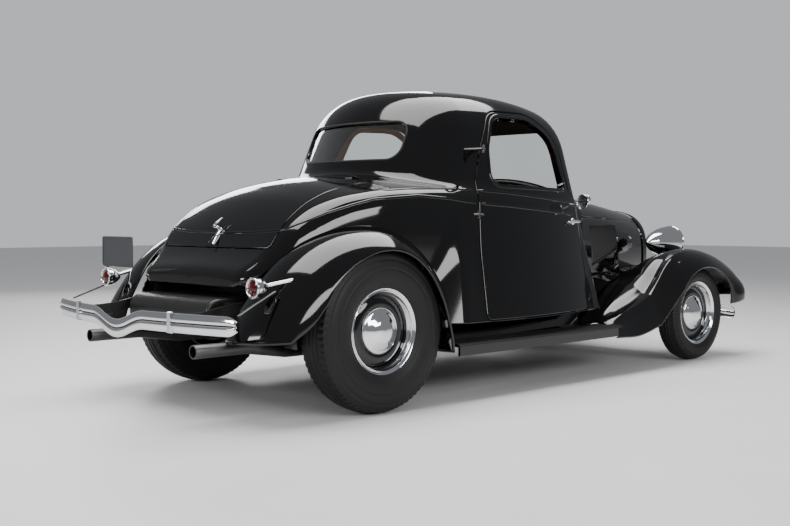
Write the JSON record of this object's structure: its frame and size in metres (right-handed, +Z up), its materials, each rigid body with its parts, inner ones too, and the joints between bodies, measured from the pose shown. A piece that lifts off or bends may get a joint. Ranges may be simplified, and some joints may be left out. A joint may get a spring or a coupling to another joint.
{
  "type": "two-door coupe",
  "caption": "Black streamlined coupe with rear-hinged doors, a long tapering hood, flowing fenders and running boards.",
  "frame": {"origin": "centre of the box on the floor under the car", "axes": "+X forward, +Y to the car's left, +Z up"},
  "size_m": [4.457, 1.716, 1.6549],
  "materials": {
    "black_paint": "gloss",
    "board_rubber": "matte",
    "cast_iron": "matte",
    "chassis_black": "satin",
    "chrome": "polished",
    "dark_plastic": "gloss",
    "glass": "clear",
    "plate_grey": "satin",
    "red_glass": "clear",
    "steel": "satin",
    "tan_leather": "satin",
    "tyre_rubber": "matte"
  },
  "bodies": {
    "chassis": {"cab_shell": "black_paint", "cowl_lamps": "chrome", "dashboard": "black_paint", "engine_block": "cast_iron", "exhaust": "steel", "floor_pan": "chassis_black", "frame_rails": "chassis_black", "front_axle": "chassis_black", "front_bumper": "chrome", "front_fender_left": "black_paint", "front_fender_right": "black_paint", "fuel_tank": "chassis_black", "grille": "black_paint", "headlamp_lenses": "glass", "headlamps": "chrome", "hood_rod": "steel", "hood_side_left": "black_paint", "hood_side_right": "black_paint", "number_plate": "plate_grey", "radiator_core": "chassis_black", "radiator_shell": "black_paint", "rear_axle": "chassis_black", "rear_bumper": "chrome", "rear_fender_left": "black_paint", "rear_fender_right": "black_paint", "rear_window": "glass", "running_boards": "board_rubber", "seat_back": "tan_leather", "seat_cushion": "tan_leather", "seat_frame": "chassis_black", "shift_lever": "dark_plastic", "springs": "chassis_black", "steering_column": "chassis_black", "tail_lamps": "chrome", "tail_lenses": "red_glass", "windscreen": "glass"},
    "rear_wheel_left": {"wheel_rear_left": "black_paint", "tyre_rear_left": "tyre_rubber"},
    "rear_wheel_right": {"wheel_rear_right": "black_paint", "tyre_rear_right": "tyre_rubber"},
    "front_wheel_left": {"wheel_front_left": "black_paint", "tyre_front_left": "tyre_rubber"},
    "front_wheel_right": {"wheel_front_right": "black_paint", "tyre_front_right": "tyre_rubber"},
    "knuckle_left_body": {"knuckle_left": "chassis_black"},
    "knuckle_right_body": {"knuckle_right": "chassis_black"},
    "tie_rod_body": {"tie_rod": "chassis_black"},
    "steering_wheel_body": {"steering_wheel": "dark_plastic"},
    "door_left_body": {"door_left": "black_paint", "door_fittings_left": "chrome"},
    "door_right_body": {"door_right": "black_paint", "door_fittings_right": "chrome"},
    "deck_lid_body": {"deck_lid": "black_paint"},
    "hood_left_body": {"hood_top_left": "black_paint"},
    "hood_right_body": {"hood_top_right": "black_paint"}
  },
  "joints": [
    {"name": "rear_wheel_left_spin", "type": "hinge", "parent": "chassis", "child": "rear_wheel_left", "pos_m": [-1.2665, 0.7255, 0.392], "axis": [0, 1, 0], "continuous": true},
    {"name": "rear_wheel_right_spin", "type": "hinge", "parent": "chassis", "child": "rear_wheel_right", "pos_m": [-1.2665, -0.7255, 0.392], "axis": [0, 1, 0], "continuous": true},
    {"name": "steer_left", "type": "hinge", "parent": "chassis", "child": "knuckle_left_body", "pos_m": [1.5785, 0.606, 0.308], "axis": [0, 0, 1], "range_deg": [-30, 30]},
    {"name": "steer_right", "type": "hinge", "parent": "chassis", "child": "knuckle_right_body", "pos_m": [1.5785, -0.606, 0.308], "axis": [0, 0, 1], "range_deg": [-30, 30]},
    {"name": "front_wheel_left_spin", "type": "hinge", "parent": "knuckle_left_body", "child": "front_wheel_left", "pos_m": [1.5785, 0.698, 0.308], "axis": [0, 1, 0], "continuous": true},
    {"name": "front_wheel_right_spin", "type": "hinge", "parent": "knuckle_right_body", "child": "front_wheel_right", "pos_m": [1.5785, -0.698, 0.308], "axis": [0, 1, 0], "continuous": true},
    {"name": "tie_rod_turn", "type": "hinge", "parent": "knuckle_left_body", "child": "tie_rod_body", "pos_m": [1.4285, 0.606, 0.236], "axis": [0, 0, 1], "range_deg": [-30, 30]},
    {"name": "steering_wheel_turn", "type": "hinge", "parent": "chassis", "child": "steering_wheel_body", "pos_m": [0.5235, 0.31, 0.52], "axis": [-0.788, 0, 0.6157], "range_deg": [-400, 400]},
    {"name": "door_left_hinge", "type": "hinge", "parent": "chassis", "child": "door_left_body", "pos_m": [-0.5535, 0.723, 0.569], "axis": [0.1195, -0.0285, 0.9924], "range_deg": [0, 70]},
    {"name": "door_right_hinge", "type": "hinge", "parent": "chassis", "child": "door_right_body", "pos_m": [-0.5535, -0.723, 0.569], "axis": [-0.1195, -0.0285, -0.9924], "range_deg": [0, 70]},
    {"name": "deck_lid_hinge", "type": "hinge", "parent": "chassis", "child": "deck_lid_body", "pos_m": [-1.029, 0, 1.14271], "axis": [0, 1, 0], "range_deg": [0, 45]},
    {"name": "hood_left_hinge", "type": "hinge", "parent": "chassis", "child": "hood_left_body", "pos_m": [0.5935, 0, 1.127], "axis": [0.9902, 0, -0.1393], "range_deg": [0, 50]},
    {"name": "hood_right_hinge", "type": "hinge", "parent": "chassis", "child": "hood_right_body", "pos_m": [0.5935, 0, 1.127], "axis": [-0.9902, 0, 0.1393], "range_deg": [0, 50]}
  ],
  "couplings": [
    {"joint": "steer_right", "follows": "steer_left", "ratio": 1},
    {"joint": "tie_rod_turn", "follows": "steer_left", "ratio": -1},
    {"joint": "steering_wheel_turn", "follows": "steer_left", "ratio": 13}
  ]
}
